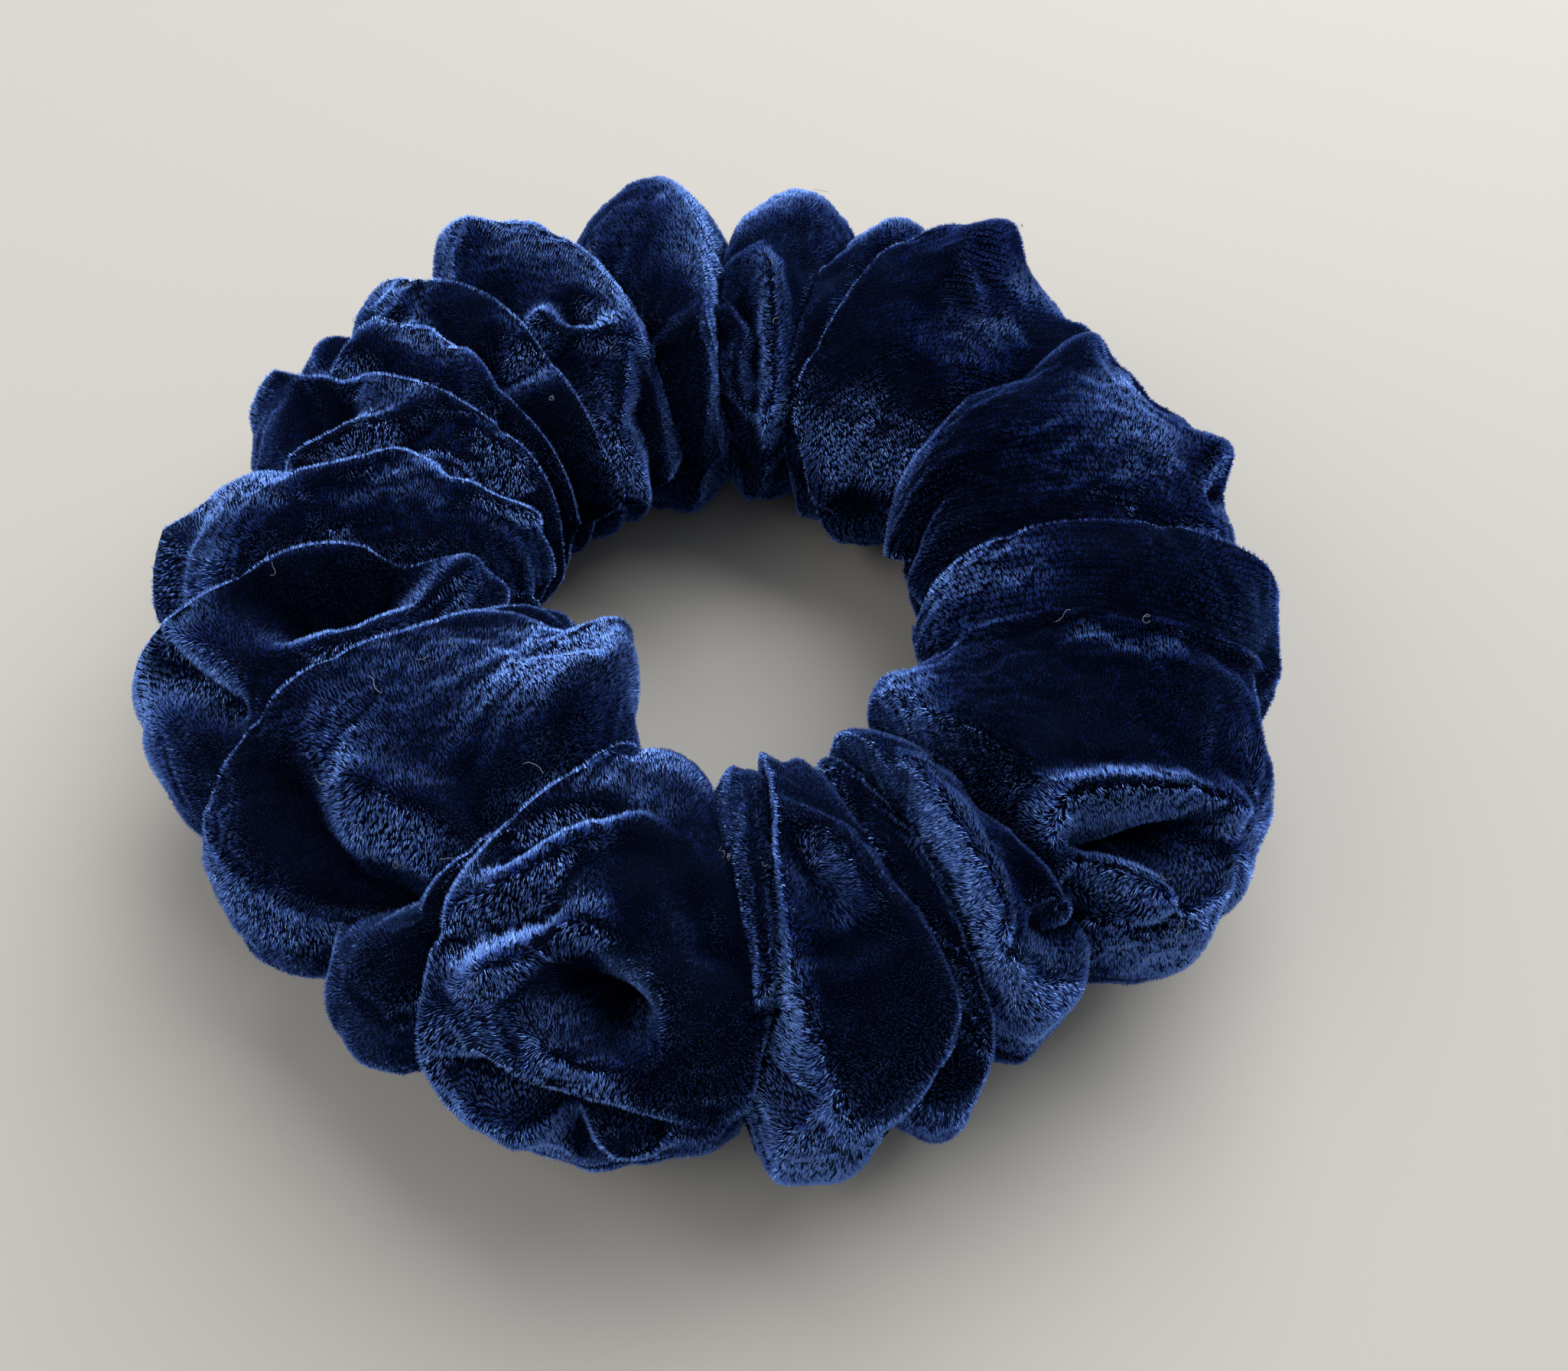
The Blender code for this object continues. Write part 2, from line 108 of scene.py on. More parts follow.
# Smaller ridges (positive) and pockets (negative) on the folds: height and half width in mm, then the
# line that each follows, as (azimuth, section angle).
RIDGES = (
    (2.4, 1.5, ((191, 138), (198, 118), (201.5, 100), (201, 82))),
    (-8.0, 2.6, ((194, 118), (195, 104), (196, 88), (194.5, 75))),
    (-4.0, 2.0, ((196, 36), (200, 46), (204, 57))),
    (1.5, 1.6, ((160, 150), (166, 150), (170, 135), (171, 120))),
    (1.5, 1.4, ((160, 135), (160, 115), (163, 105), (170, 98), (175, 86), (176, 75))),
    (-2.5, 2.2, ((163.5, 138), (165.5, 122))),
    (-3.0, 2.4, ((164, 94), (170, 86), (172.5, 75))),
    (2.0, 1.4, ((155, 101), (160, 97), (163, 85), (166, 70), (168, 61))),
    (-3.0, 2.4, ((157, 80), (161, 75), (163, 64))),
    (2.0, 1.4, ((139, 95), (144, 108), (148, 120))),
    (1.8, 1.2, ((140, 90), (142, 71), (150, 72), (153, 62))),
    (-3.0, 1.8, ((143.5, 62), (147, 61), (150, 58))),
    (-2.2, 1.8, ((133, 116), (138, 108), (137.5, 100))),
    (3.0, 2.0, ((122, 180), (127, 172), (127, 160), (125, 150), (120, 138), (116, 125), (112, 112))),
    (-2.4, 2.4, ((113, 125), (118, 140), (121, 152))),
    (2.0, 1.2, ((118, 112), (121, 115), (124, 111), (125.5, 104), (127.5, 98), (130, 98))),
    (-3.0, 1.6, ((121, 108), (122.5, 105))),
    (2.0, 1.4, ((79, 165), (79, 150), (81, 125), (83, 105), (86, 93), (90, 88))),
    (2.0, 1.2, ((84, 153), (88, 147), (89, 135), (88, 122), (91, 112), (94, 102))),
    (-2.5, 1.8, ((84, 145), (85, 125), (87.5, 106))),
    (1.5, 1.4, ((95, 104), (98, 115), (104, 122))),
    (1.6, 1.4, ((225, 82), (230, 86), (237, 91))),
    (-3.5, 3.0, ((219, 72), (224, 66), (230, 62), (234, 70))),
    (6.5, 4.5, ((226, 160), (236, 152), (242, 138), (240, 122))),
    (1.8, 1.3, ((247, 78), (251, 86), (255, 95), (260, 103), (266, 106))),
    (-2.6, 1.2, ((246, 86), (249, 92), (254, 101), (260, 108))),
    (-2.8, 1.8, ((246.5, 62), (249.5, 71), (253.5, 78), (257, 82))),
    (2.6, 1.6, ((250, 60), (252, 66), (255, 72), (259, 79), (262.5, 77))),
    (-11.0, 2.4, ((258.5, 68), (261.5, 63), (264, 55))),
    (2.0, 1.5, ((263, 74), (266.3, 66), (266.5, 55), (264.5, 48), (260, 49), (257.5, 54))),
    (-2.8, 1.3, ((249.5, 28), (254.5, 30), (259.5, 27), (264.5, 22), (268, 16))),
    (1.6, 2.2, ((252, 14), (256, 12))),
    (1.8, 1.8, ((263.5, 14), (266, 14))),
    (-2.2, 1.4, ((259.8, 20), (259.8, 4))),
    (-2.0, 1.4, ((269, 92), (270, 76))),
    (1.4, 1.8, ((267.5, 84), (268, 70))),
    (1.2, 1.7, ((281, 108), (280.5, 92), (279.8, 80), (280, 68), (281.5, 58), (282.5, 42), (282.5, 24))),
    (1.6, 1.3, ((283, 112), (288, 102), (291, 88), (292.5, 77), (293.5, 62), (293.5, 48), (292.5, 32))),
    (-2.6, 2.2, ((285, 97), (286.5, 83))),
    (-1.4, 1.1, ((281.5, 75), (286, 74), (291, 76))),
    (-3.0, 1.8, ((277.6, 62), (277.6, 46), (277.5, 32))),
    (2.6, 1.6, ((305, 112), (304, 96), (303.5, 84), (302.5, 74), (300.8, 60), (300.5, 46))),
    (2.0, 1.6, ((308, 90), (308.8, 76), (309, 62), (309.5, 50))),
    (-3.2, 1.4, ((306.5, 62), (307.5, 48), (309, 38))),
    (3.6, 1.7, ((310.5, 70), (313, 77), (317.5, 79), (322, 73), (325.5, 63), (328.5, 50), (331, 36))),
    (-7.5, 2.8, ((316, 71), (320, 62), (323.5, 52), (327, 42))),
    (3.2, 1.5, ((311.5, 66), (315, 67), (317.5, 60), (317.5, 50), (316, 40))),
    (-4.5, 1.5, ((312.8, 60), (314, 52), (314.5, 44))),
    (-1.6, 2.4, ((344, 30), (344, 15), (344, 0))),
    (1.2, 2.0, ((349.5, 25), (349.5, 8))),
    (2.7, 2.9, ((33, 80), (36, 66), (38, 52), (38, 40))),
    (2.6, 2.4, ((53, 90), (53, 72), (52.5, 55), (52, 42))),
    (1.8, 2.2, ((14, 52), (16, 38), (17, 25))),
    (-2.0, 2.6, ((25, 50), (27, 38))),
    (-1.6, 1.6, ((10, 46), (12, 38))),
    (2.2, 1.4, ((178, 42), (181, 28), (183.5, 14), (184.5, 4))),
    (-2.4, 2.2, ((169, 46), (172, 28), (173.5, 8))),
    (1.2, 1.6, ((154, 60), (157, 40), (158.5, 15))),
    (2.0, 2.0, ((126, 60), (127.5, 42), (128, 25))),
    (0.9, 0.7, ((339, 145), (341.5, 120), (343.5, 105), (345.5, 85), (346.5, 70), (347.5, 50), (349, 20))),
)
RIDGE_STRENGTH = 1.25
RIDGE_POINT_STEP = 1.0  # degrees
STRAIGHT_RIDGE_POINTS = 12
RIDGE_REACH = (12.0, 25.0)  # degrees of azimuth and of section angle
RIDGE_END_SHARE = 0.18  # of its length, where it fades out at each end
RIDGE_END_HEIGHT = 0.15

# Where handling has brushed the pile over, and where it has pushed it up again (negative): how far, and
# half width in mm, then the line.
BRUSHED = (
    (1.0, 2.3, ((279.5, 80), (279.5, 62), (279.5, 45), (278.5, 28), (278, 8))),
    (0.7, 1.5, ((283, 104), (287, 90), (288, 80))),
    (0.8, 1.5, ((297, 30), (298, 20))),
    (1.0, 2.0, ((304, 96), (303, 80), (301.5, 62), (300.5, 48))),
    (1.0, 3.0, ((303, 46), (305, 40), (303, 30), (300, 28))),
    (1.2, 1.8, ((311, 74), (314, 80), (318, 80), (322, 73), (326, 63), (329, 50))),
    (1.1, 4.2, ((312, 33), (318, 28), (324, 24), (330, 22), (334, 30))),
    (1.1, 1.7, ((314, 68), (317.5, 60), (317.5, 50), (317, 40))),
    (0.9, 2.0, ((337, 42), (338, 30))),
    (0.7, 2.0, ((326, 150), (322, 140), (318, 125))),
    (0.9, 3.0, ((350, 150), (350, 130), (351, 115))),
    (1.0, 1.0, ((341, 104), (342, 94), (343, 80), (345, 72))),
    (0.8, 5.0, ((28, 62), (22, 72), (15, 80), (12, 92))),
    (0.9, 3.0, ((10, 40), (4, 35), (2, 60))),
    (0.8, 4.5, ((62, 150), (52, 150), (46, 150))),
    (0.9, 2.5, ((52, 105), (46, 95), (42, 80))),
    (0.7, 2.0, ((48, 60), (46, 45))),
    (0.8, 3.0, ((70, 60), (66, 30))),
    (0.8, 3.0, ((89, 60), (82, 45), (78, 30))),
    (0.8, 1.5, ((79, 165), (79, 150), (81, 125), (83, 105), (86, 93))),
    (0.9, 2.5, ((98, 40), (97, 70), (99, 95))),
    (0.9, 5.0, ((124, 45), (120, 60), (115, 75))),
    (1.1, 1.8, ((113, 83), (119, 115), (125, 140), (127, 170))),
    (0.9, 2.5, ((138, 45), (132, 60))),
    (1.0, 2.0, ((127, 95), (131, 105), (135, 118))),
    (1.0, 2.0, ((141, 62), (144, 80), (142, 95))),
    (1.1, 2.2, ((152, 75), (153, 100), (155, 125), (157, 145))),
    (0.9, 1.8, ((156, 40), (157, 20))),
    (1.0, 5.0, ((168, 90), (173, 70), (177, 50), (179, 25))),
    (1.1, 1.5, ((160, 97), (163, 85), (166, 70), (168, 61))),
    (1.0, 1.6, ((162, 110), (166, 104), (170, 98))),
    (1.0, 2.2, ((164, 120), (167, 130), (169, 145))),
    (1.1, 2.2, ((186, 42), (184.5, 60), (184.5, 90), (187, 105))),
    (0.9, 5.0, ((191, 30), (196, 15), (192, 55))),
    (1.0, 1.8, ((201.5, 85), (200, 100), (196, 118))),
    (1.0, 2.0, ((209, 60), (208, 75), (206.5, 95), (203, 120), (199, 140))),
    (0.45, 7.0, ((212, 110), (222, 100), (230, 92))),
    (1.1, 4.5, ((225, 150), (231, 138), (235, 116))),
    (0.8, 1.8, ((211, 46), (214, 32))),
    (0.8, 1.5, ((226, 68), (231, 78), (235, 84))),
    (1.0, 2.2, ((244, 62), (243.5, 45), (246, 28))),
    (1.1, 5.0, ((249, 52), (252, 42), (256, 38), (259.5, 46))),
    (1.1, 2.0, ((249.5, 62), (254.5, 72), (258.5, 79), (262, 77))),
    (1.1, 2.0, ((247, 78), (251, 87), (256, 97), (261, 104))),
    (1.0, 2.0, ((252, 106), (258, 114), (264, 117))),
    (0.9, 2.2, ((257, 135), (262, 138))),
    (0.9, 2.2, ((268, 82), (269, 70))),
    (0.9, 2.6, ((252, 12), (257, 8))),
    (0.9, 1.8, ((263.5, 14), (266, 12))),
    (1.0, 4.5, ((248, 104), (250.5, 82), (250, 60), (252, 34), (257, 22))),
    (1.0, 3.2, ((279, 14), (283, 7), (288, 12))),
    (1.0, 2.6, ((300, 16), (304, 10), (307, 16))),
    (1.1, 4.0, ((317, 14), (325, 9), (332, 15))),
    (0.9, 2.5, ((218, 30), (224, 22), (228, 34))),
    (0.9, 4.2, ((176, 58), (176, 84), (174, 110), (171, 134))),
    (0.8, 2.6, ((154, 60), (153, 84), (152, 108))),
    (-1.2, 1.9, ((258.5, 68), (261.5, 63), (264, 55))),
    (-1.0, 2.0, ((194.5, 108), (196, 88), (194.5, 74))),
    (-1.0, 1.8, ((317, 70), (320, 62), (323.5, 52), (327, 44))),
    (-1.0, 2.4, ((286, 72), (288.5, 48), (289, 26))),
    (-0.9, 1.6, ((308.5, 90), (309.5, 62), (309.5, 44))),
    (-0.9, 2.6, ((266, 104), (268.5, 62), (268.5, 26))),
    (-0.8, 2.4, ((34, 96), (36, 80), (37, 64))),
    (-0.9, 3.0, ((334, 108), (332, 92), (336, 78))),
    (-0.8, 3.4, ((226, 50), (232, 44), (236, 60))),
)
BRUSHED_SPREAD = 1.4

# Wrinkles too small for the tables: height in mm at the hole, on top and at the rim, how many features
# a radian round the ring, how much fewer up the section, and the noise's seed.
WRINKLES = (
    ((1.5, 0.35, 0.9), 9.0, 0.16, 21),
    ((0.7, 0.35, 0.6), 17.0, 0.22, 22),
    ((0.5, 0.7, 1.2), 4.5, 0.9, 23),
)

# Cloth simulation
SETTLE_FRAMES = 9
SPARE_CLOTH = 0.035
MOST_SETTLING = 2.2 * MM
HELD_AT_SEAM = 1.0
HELD_AT_TABLE = 0.6
HELD_ELSEWHERE = 0.25
HELD_SEAM_ROWS = len(TURNED_IN_MM) + 2
NEAR_TABLE = 1.0 * MM
TABLE_HALF_SIZE = 0.2
CLOTH_SETTINGS = dict(
    quality=6, mass=0.0004, tension_stiffness=12.0, compression_stiffness=12.0, shear_stiffness=4.0,
    bending_stiffness=0.08, tension_damping=8.0, compression_damping=8.0, shear_damping=8.0,
    bending_damping=2.0, air_damping=2.0, pin_stiffness=0.6, shrink_min=-SPARE_CLOTH,
)

# Smooth noise
NOISE_CELLS = 48  # before it repeats
NOISE_START = 1000.0

# The pile: separate fibres, gathered into the tufts of the knitted ground
PILE_PIECES = 7
PILE_A_PIECE = 190000
PILE_SEED = 100
PILE_LENGTH = 0.44 * MM
PILE_LENGTHS = (0.85, 0.3)  # the shortest, and how much longer the longest is, as shares of that
PILE_WIDTH = 0.11 * MM
PILE_DEPTH = 0.1 * MM  # of its root in the cloth
PILE_FROM_HEIGHT = 0.5 * MM  # no pile where the cloth lies on the table
PILE_LEAST_HEIGHT = 0.02 * MM
PILE_COLOUR = (0.18, 0.335, 0.80)
PILE_ROUGHNESS = 0.45
UPRIGHT_SHARE = 0.6  # how much of the pile's length shows where it stands up in the thick of the rest
TUFT_MM = np.array([0.85, 0.75])
TUFT_GATHER = 0.3
TUFT_SPREAD = 0.28
PILE_UNEVENNESS = 0.07
PILE_LEAN_ALONG = -0.20
BRUSHED_TOWARDS = np.array([-0.25, 0.95, 0.1])
BRUSHED_DOWN = np.array([0.1, -0.3, -0.95])  # on the sides that face -Y
FRONT_SHARE = (-1.6, -0.35)  # how the second takes over from the first: slope over Y, and start
BRUSH_MOST = 1.3
BRUSH_LEAN = 2.0
BRUSH_EVEN, BRUSH_PATCHY = 0.70, 0.7
CRUSH_FROM, CRUSH_STRENGTH = 0.74, 1.3  # small patches crushed by handling, wherever the noise is high
PATCHES = ((4.5 * MM, 7, 0.55), (1.9 * MM, 8, 0.45))  # size, seed and share
SWIRL_SIZE, SWIRL_SEED, SWIRL_TURN = 8.0 * MM, 9, 1.8

# The ground of the velvet, in the gaps of the pile
GROUND_DARK = (0.0012, 0.0018, 0.005)
GROUND_LIGHT = (0.003, 0.005, 0.016)
NAP_ALONG = -1.0
NAP_ACROSS = 0.35
NAP_LEAN = 0.35
NAP_CRUSH = 0.85
NAP_CRUSHED_FROM = 0.45
NAP_CRUSHES = ((6.0 * MM, 7, 0.6), (2.5 * MM, 8, 0.4))
NAP_SWIRL_SIZE, NAP_SWIRL_SEED, NAP_SWIRL_TURN = 9.0 * MM, 9, 3.0

# Lint
LINT_FIBRES = 34
LINT_SEED = 5
LINT_WIDTH = 0.045 * MM
LINT_STEP = 0.16 * MM
LINT_HEIGHT = 0.45 * MM
LINT_STEPS = (9, 24)
LINT_FIRST_CURL = 0.25
LINT_CURL = 0.16
LINT_LIFT = (0.05, 0.25)  # mean and spread
LINT_LEAST_UP = 0.35  # only on cloth that faces up
LINT_COLOUR = (0.30, 0.31, 0.36)

# Yarns: dark and light colour, strands round the ring for a radian, their rise over Z, and roughness. The
# dark colour is painted shade, laid in the grooves between the strands.
NAVY_YARN = ((0.002, 0.004, 0.016), (0.008, 0.016, 0.060), 900.0, 6000.0, 0.7)
WHITE_YARN = ((0.45, 0.44, 0.42), (0.80, 0.79, 0.76), 900.0, 6000.0, 0.75)
BRAID_YARN = ((0.30, 0.30, 0.29), (0.74, 0.73, 0.70), 190.0, 6500.0, 0.8)

# Latex under its chalky bloom, and where the bloom is thick
LATEX_DARK = (0.52, 0.38, 0.22)
LATEX_LIGHT = (0.66, 0.55, 0.40)

# The camera, as it stood over the ring
CAMERA_FROM_AXIS = Vector((6.12, -86.97, 138.0)) * MM
CAMERA_PITCH = 57.5
CAMERA_ROLL = 0.86
SENSOR_WIDTH_MM = 36.0
FOCAL_LENGTH_MM = 33.36
NEAREST_SEEN = 0.005

# The studio: each light's place, power, size and colour
LIGHTS = {
    "window": ((0.30, 0.50, 0.60), 11.2, 1.0, (0.97, 0.98, 1.0)),
    "room": ((-0.6, -0.1, 0.5), 2.2, 0.6, (1.0, 0.97, 0.93)),
}
FLOOR_HALF_SIZE = 1.5
FLOOR_COLOUR = (0.56, 0.532, 0.482)
SKY_COLOUR = (0.80, 0.86, 0.95)
SKY_STRENGTH = 0.29


def at_stations(values, angles):
    """A smooth curve through values given every 30 degrees from the hole down to the rim."""
    rim_first = np.array(values, float)[::-1]
    place = np.clip(angles, 0.0, 180.0) / STATION_STEP
    last = len(rim_first) - 1
    low = np.clip(place.astype(int), 0, last - 1)
    t = place - low
    before, here = rim_first[np.clip(low - 1, 0, last)], rim_first[low]
    there, after = rim_first[low + 1], rim_first[np.clip(low + 2, 0, last)]
    return 0.5 * (
        2.0 * here + (there - before) * t
        + (2.0 * before - 5.0 * here + 4.0 * there - after) * t ** 2
        + (3.0 * here - before - 3.0 * there + after) * t ** 3
    )


def along_section(values, angles):
    """Values given at the hole, on top and at the rim, at any section angle."""
    hole, top, rim = values
    under = rim + (hole - rim) * (0.5 - 0.5 * np.cos(np.radians(angles)))
    outer = rim + (top - rim) * np.clip(angles, 0.0, 90.0) / 90.0
    inner = top + (hole - top) * (np.clip(angles, 90.0, 180.0) - 90.0) / 90.0
    return np.where(angles < 0.0, under, np.where(angles > 90.0, inner, outer))


def smooth_line(points):
    """A line of (azimuth, section angle) points, rounded and spaced about evenly."""
    points = np.array(points, float)
    if len(points) == 2:
        return np.linspace(points[0], points[1], STRAIGHT_RIDGE_POINTS)
    padded = np.concatenate([[2 * points[0] - points[1]], points, [2 * points[-1] - points[-2]]])
    line = []
    for a, b, c, d in zip(padded[:-3], padded[1:-2], padded[2:-1], padded[3:]):
        count = max(2, int(np.linalg.norm(c - b) / RIDGE_POINT_STEP))
        t = np.linspace(0.0, 1.0, count, endpoint=False)[:, None]
        line.append(0.5 * (2 * b + (c - a) * t + (2 * a - 5 * b + 4 * c - d) * t ** 2
                           + (3 * b - a - 3 * c + d) * t ** 3))
    return np.concatenate(line + [points[-1:]])


def ridge_height(azimuth, angle, height_mm, half_width_mm, points):
    """Height in mm of one ridge over every point of the cover, fading out at its ends."""
    line = smooth_line(points)
    from_end = np.minimum(np.arange(len(line)), np.arange(len(line))[::-1])
    fade = np.minimum(1.0, from_end / (RIDGE_END_SHARE * len(line)) + RIDGE_END_HEIGHT)
    (first_turn, first_around), (last_turn, last_around) = line.min(axis=0), line.max(axis=0)
    near = (
        (azimuth > first_turn - RIDGE_REACH[0]) & (azimuth < last_turn + RIDGE_REACH[0])
        & (angle > first_around - RIDGE_REACH[1]) & (angle < last_around + RIDGE_REACH[1])
    )
    radius = TUBE_RING_RADIUS_MM + TUBE_HALF_WIDTH_MM * np.cos(np.radians(angle))
    turn, around, reach = azimuth[near], angle[near], radius[near]
    top = np.zeros_like(turn)
    for (ridge_turn, ridge_around), strength in zip(line, fade):
        across = np.radians(turn - ridge_turn) * reach
        along = np.radians(around - ridge_around) * TUBE_MEAN_RADIUS_MM
        distance = (across ** 2 + along ** 2) / half_width_mm ** 2
        top = np.maximum(top, strength * np.exp(-distance))
    height = np.zeros_like(azimuth)
    height[near] = top * height_mm
    return height


def each_ridge(azimuth, angle, table, strength, spread):
    """The table's rows as heights over the cover, each also a turn back for the folds before +X."""
    for amount, half_width_mm, points in table:
        for turns in (-360.0, 0.0):
            line = [(ridge_turn + turns, around) for ridge_turn, around in points]
            yield amount, ridge_height(azimuth, angle, strength * amount, spread * half_width_mm, line)


def value_noise(points, scale, seed):
    """Smooth noise from 0 to 1 over points in metres, with features about scale metres wide."""
    lattice = np.random.default_rng(seed).random((NOISE_CELLS, NOISE_CELLS, NOISE_CELLS))
    place = points / scale + NOISE_START
    low = np.floor(place).astype(int)
    t = place - low
    t = t * t * (3.0 - 2.0 * t)
    total = np.zeros(len(points))
    for corner in range(8):
        step = np.array([corner & 1, corner >> 1 & 1, corner >> 2 & 1])
        weight = np.prod(np.where(step, t, 1.0 - t), axis=1)
        x, y, z = ((low + step) % NOISE_CELLS).T
        total += weight * lattice[x, y, z]
    return total


def summed_noise(points, layers):
    return sum(value_noise(points, size, seed) * share for size, seed, share in layers)


def unit(vectors):
    return vectors / np.maximum(np.linalg.norm(vectors, axis=-1, keepdims=True), 1e-12)


def wrinkles(azimuth, angle):
    """Height in mm of the fine gathers at the hole and of the stress wrinkles that run up the folds."""
    turn = np.radians(azimuth)
    place = np.stack([np.cos(turn), np.sin(turn), np.radians(angle) / 2.0], axis=-1).reshape(-1, 3)
    total = np.zeros(len(place))
    for share_mm, features, along_share, seed in WRINKLES:
        stretched = place * [features, features, features * along_share]
        fade = along_section(share_mm, angle).ravel()
        total += (value_noise(stretched, 1.0, seed) - 0.5) * 2.0 * fade
    return total.reshape(azimuth.shape)


def section_angles():
    """The section angle of each row, and how far in mm the row is turned in at the seam."""
    first, last = SEAM_ANGLE - SEAM_HALF_GAP_DEG, SEAM_ANGLE - 360.0 + SEAM_HALF_GAP_DEG
    allowance = len(TURNED_IN_MM)
    angles = np.linspace(first, last, SECTION_ROWS)
    angles = np.concatenate([[angles[0]] * allowance, angles, [angles[-1]] * allowance])
    turned_in = np.concatenate([TURNED_IN_MM, np.zeros(SECTION_ROWS), TURNED_IN_MM[::-1]])
    return (angles + 180.0) % 360.0 - 180.0, turned_in


def fold_columns(angles):
    """Azimuth, height in mm and lean in mm over all folds, in columns round the ring."""
    up, out = np.sin(np.radians(angles)), np.cos(np.radians(angles))
    depth = along_section(CREASE_DEPTH_MM, angles)
    depth = np.where(up < 0.0, depth * (UNDERSIDE_SHARE + (1.0 - UNDERSIDE_SHARE) * np.abs(out)), depth)
    leaning = np.clip(up - LEAN_FROM_SINE, 0.0, 1.0)
    azimuths, puffs, leans = [], [], []
    for number, fold in enumerate(FOLDS):
        following = FOLDS[(number + 1) % len(FOLDS)]
        wrap = 360.0 if number == len(FOLDS) - 1 else 0.0
        start = at_stations(fold.creases, angles)
        end = at_stations(following.creases, angles) + wrap
        inside = angles > WIDEST_FROM_ANGLE
        widest = max(end[inside].max() - start[inside].max(), (end - start)[0])
        columns = max(FEWEST_COLUMNS, round(widest * COLUMNS_PER_DEGREE))
        rise = along_section(fold.rise_mm, angles)
        side = -1.0 if fold.crest < 0.5 else 1.0
        for t in np.arange(columns) / columns:
            if t < fold.crest:
                crown = 1.0 - ((fold.crest - t) / fold.crest) ** 2
                floor = -depth * fold.depth
            else:
                crown = 1.0 - ((t - fold.crest) / (1.0 - fold.crest)) ** fold.flat
                floor = -depth * following.depth
            azimuths.append(start + (end - start) * t)
            puffs.append(floor + (rise - floor) * crown)
            leans.append(side * fold.lean_mm * crown ** 2 * leaning)
    return np.array(azimuths), np.array(puffs), np.array(leans)


def brushed_over(azimuth, angle):
    """How far the pile is brushed over at every point of the cover."""
    brushed = np.zeros_like(azimuth)
    for amount, over in each_ridge(azimuth, angle, BRUSHED, 1.0, BRUSHED_SPREAD):
        brushed = np.maximum(brushed, over) if amount > 0.0 else brushed + over
    return brushed


def cover_guide():
    """The cover as laid out in the tables, in columns round the ring and rows round the section.

    Gives the points, and how far the pile is brushed over at each.
    """
    angles, turned_in = section_angles()
    azimuth, puff, lean = fold_columns(angles)
    angle = np.broadcast_to(angles, azimuth.shape)
    for _, height in each_ridge(azimuth, angle, RIDGES, RIDGE_STRENGTH, 1.0):
        puff = puff + height
    puff = puff + wrinkles(azimuth, angle) - turned_in
    up, out = np.sin(np.radians(angles)), np.cos(np.radians(angles))
    width = TUBE_HALF_WIDTH_MM * np.sign(out) * np.abs(out) ** SQUARENESS + puff * out
    height = TUBE_HALF_HEIGHT_MM * np.sign(up) * np.abs(up) ** SQUARENESS + puff * up
    radius = TUBE_RING_RADIUS_MM + width
    turn = np.radians(azimuth) + lean / radius
    z = np.maximum(0.0, TUBE_CENTRE_HEIGHT_MM + height)
    points = np.stack([radius * np.cos(turn), radius * np.sin(turn), z], axis=-1) * MM + AXIS_POINT
    return points, brushed_over(azimuth, angle)


def strip_mesh(name, points):
    """A mesh over a grid of points that closes round the ring and is open along the seam."""
    columns, rows, _ = points.shape
    corner = np.arange(columns * rows).reshape(columns, rows)
    there = np.roll(corner, -1, axis=0)
    quads = np.stack([corner[:, :-1], corner[:, 1:], there[:, 1:], there[:, :-1]], axis=-1).reshape(-1, 4)
    mesh = bpy.data.meshes.new(name)
    mesh.from_pydata(points.reshape(-1, 3).tolist(), [], quads.tolist())
    mesh.shade_smooth()
    return mesh


def square_mesh(name, half):
    corners = [(-half, -half, 0), (half, -half, 0), (half, half, 0), (-half, half, 0)]
    mesh = bpy.data.meshes.new(name)
    mesh.from_pydata(corners, [], [(0, 1, 2, 3)])
    return mesh


def triangles_mesh(name, corners):
    """Separate triangles, from three corners each."""
    mesh = bpy.data.meshes.new(name)
    mesh.vertices.add(len(corners))
    mesh.vertices.foreach_set("co", corners.astype(np.float32).ravel())
    mesh.loops.add(len(corners))
    mesh.loops.foreach_set("vertex_index", np.arange(len(corners), dtype=np.int32))
    mesh.polygons.add(len(corners) // 3)
    mesh.polygons.foreach_set("loop_start", np.arange(0, len(corners), 3, dtype=np.int32))
    mesh.update(calc_edges=True)
    return mesh


def new_object(name, data):
    item = bpy.data.objects.new(name, data)
    bpy.context.scene.collection.objects.link(item)
    return item


def read_points(mesh):
    points = np.empty(len(mesh.vertices) * 3, np.float32)
    mesh.vertices.foreach_get("co", points)
    return points.reshape(-1, 3).astype(float)


def hold_cloth(cover, guide):
    """Weights that hold the seam fast, the cloth on the table less, and the rest a little."""
    held = cover.vertex_groups.new(name="held")
    columns, rows, _ = guide.shape
    height = guide.reshape(-1, 3)[:, 2]
    row = np.tile(np.arange(rows), columns)
    edge = np.minimum(row, rows - 1 - row)
    weights = np.where(height < NEAR_TABLE, HELD_AT_TABLE, HELD_ELSEWHERE)
    weights = np.where(edge < HELD_SEAM_ROWS, HELD_AT_SEAM, weights)
    for index, weight in enumerate(weights):
        held.add([index], float(weight), "REPLACE")
    return held.name


